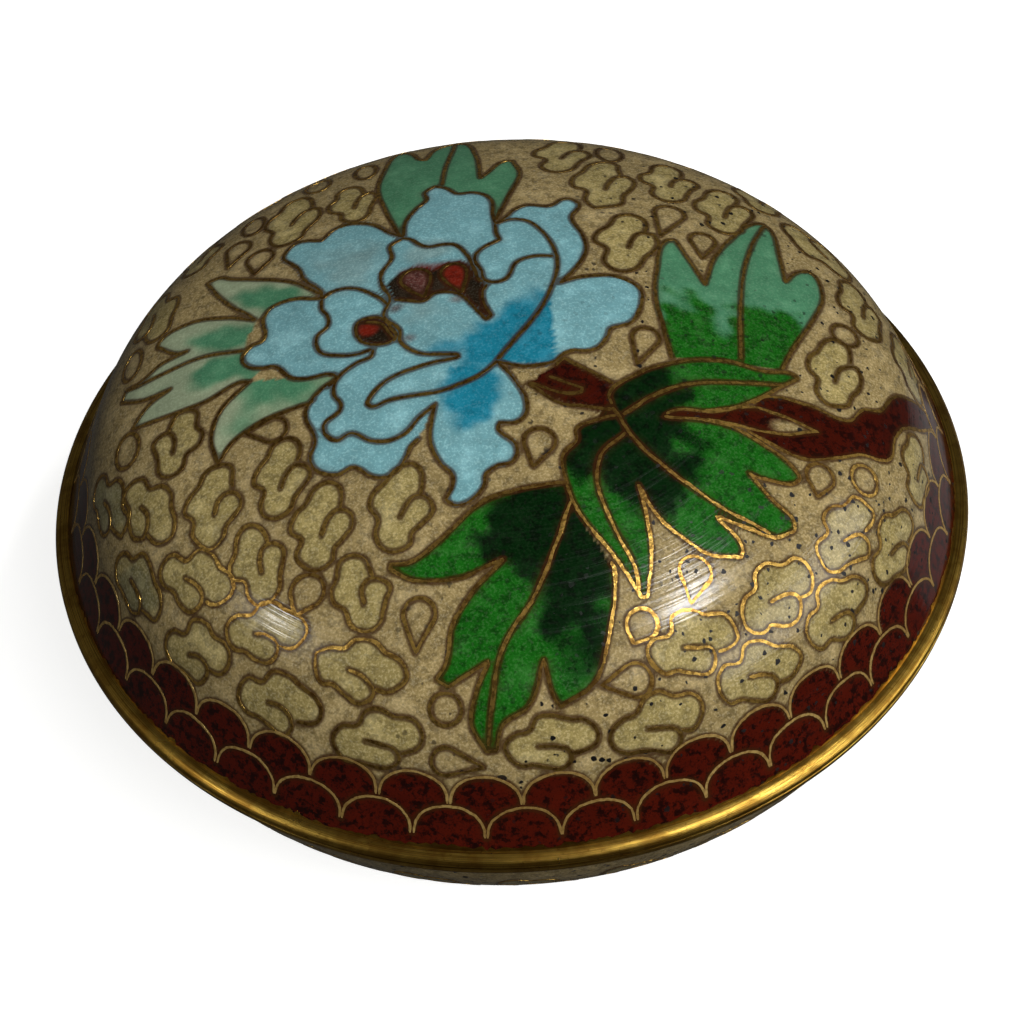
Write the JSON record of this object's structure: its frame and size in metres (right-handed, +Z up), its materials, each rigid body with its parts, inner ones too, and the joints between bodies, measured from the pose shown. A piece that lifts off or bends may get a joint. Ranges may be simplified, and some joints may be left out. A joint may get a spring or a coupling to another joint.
{
  "type": "cloisonne enamel box",
  "caption": "Round lidded box of enamelled copper: a domed lid lifts off a shallow bowl on a foot ring, with brass rims and flush wire decoration.",
  "frame": {"origin": "centre of the foot ring's underside, on the surface that the box stands on", "axes": "+Z up along the axis of turning, -Y towards the viewer of the picture, +X to the viewer's right"},
  "size_m": [0.076, 0.076, 0.0394],
  "materials": {
    "outer_enamel": "cream vitreous enamel with blue, green and brown-red cells, ground and polished flush with its wires, pitted, semi-gloss",
    "inner_enamel": "thin sky-blue counter-enamel over copper, fired and unpolished, slightly uneven gloss",
    "gilt_brass": "gilt brass, finely scratched along its length and dulled brown in its low places"
  },
  "bodies": {
    "root": {"bowl_enamel": "outer_enamel", "bowl_shell": "inner_enamel", "bowl_rim": "gilt_brass", "foot_ring": "gilt_brass", "lid_enamel": "outer_enamel", "lid_shell": "inner_enamel", "lid_rim": "gilt_brass"}
  },
  "joints": []
}
